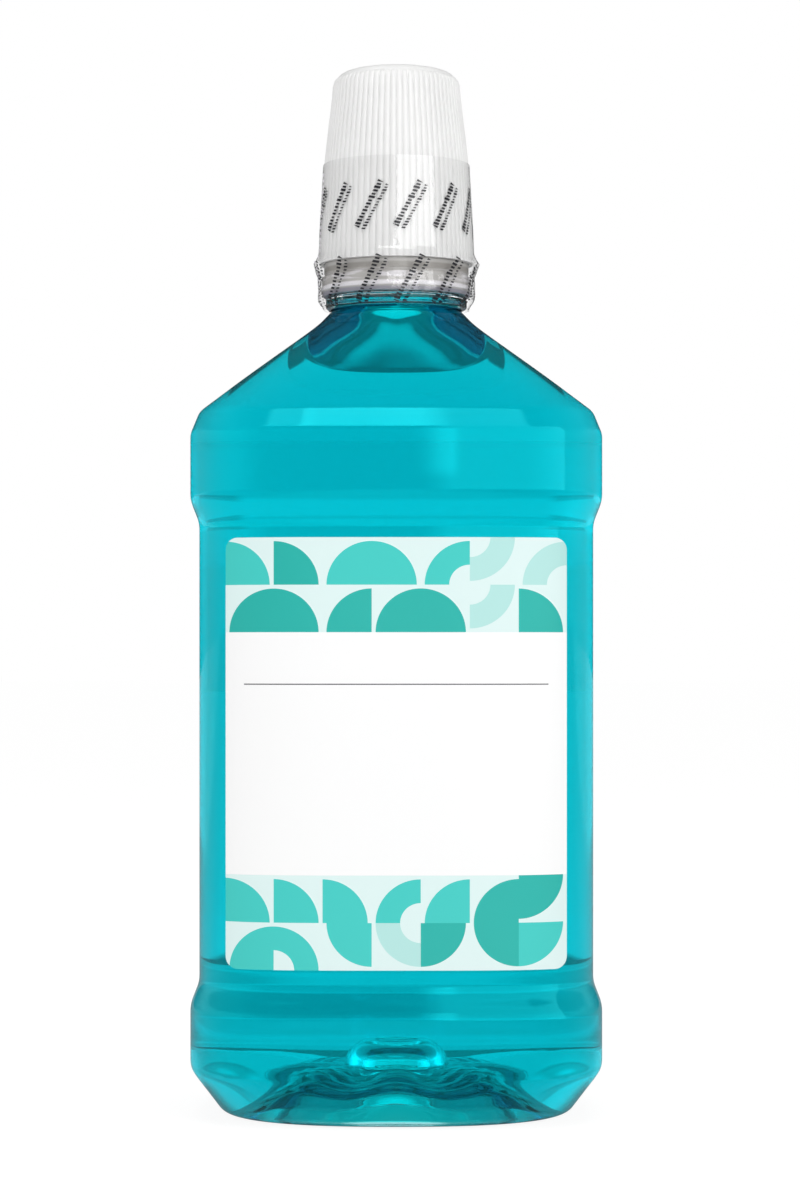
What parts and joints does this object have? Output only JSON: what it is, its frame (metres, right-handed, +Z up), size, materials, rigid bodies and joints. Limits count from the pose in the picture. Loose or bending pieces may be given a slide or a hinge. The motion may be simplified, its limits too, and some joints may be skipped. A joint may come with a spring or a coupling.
{
  "type": "mouthwash bottle",
  "caption": "Tall squared bottle of teal mouthwash with a ribbed screw cap that holds a dosing cup, a clear shrink band and a front label.",
  "frame": {"origin": "middle of the foot, on the surface that the bottle stands on", "axes": "+Z up the bottle to its cap, -Y out of the label, +X to the right of someone facing the label"},
  "size_m": [0.112, 0.083, 0.2851],
  "materials": {
    "clear_pet": "gloss",
    "teal_liquid": "gloss",
    "label_film": "satin",
    "white_pp": "satin",
    "natural_pp": "satin",
    "liner_foam": "matte",
    "shrink_film": "gloss"
  },
  "bodies": {
    "bottle": {"bottle": "clear_pet", "mouthwash": "teal_liquid", "front_label": "label_film"},
    "liner": {"seal_liner": "liner_foam"},
    "cup": {"dosing_cup": "natural_pp"},
    "cap": {"cap_shell": "white_pp"},
    "band": {"tamper_band": "shrink_film"}
  },
  "joints": [
    {"name": "cap_lift", "type": "slide", "parent": "bottle", "child": "liner", "axis": [0, 0, 1], "range_m": [0, 0.07]},
    {"name": "cap_rise", "type": "slide", "parent": "liner", "child": "cup", "axis": [0, 0, 1], "range_m": [0, 0.0043]},
    {"name": "cap_turn", "type": "hinge", "parent": "cup", "child": "cap", "pos_m": [0, 0, 0.2585], "axis": [0, 0, 1], "range_deg": [0, 360]},
    {"name": "band_strip", "type": "slide", "parent": "cap", "child": "band", "axis": [0, 0, 1], "range_m": [0, 0.07]}
  ],
  "couplings": [
    {"joint": "cap_rise", "follows": "cap_turn", "m_per_rad": 0.00067323}
  ]
}
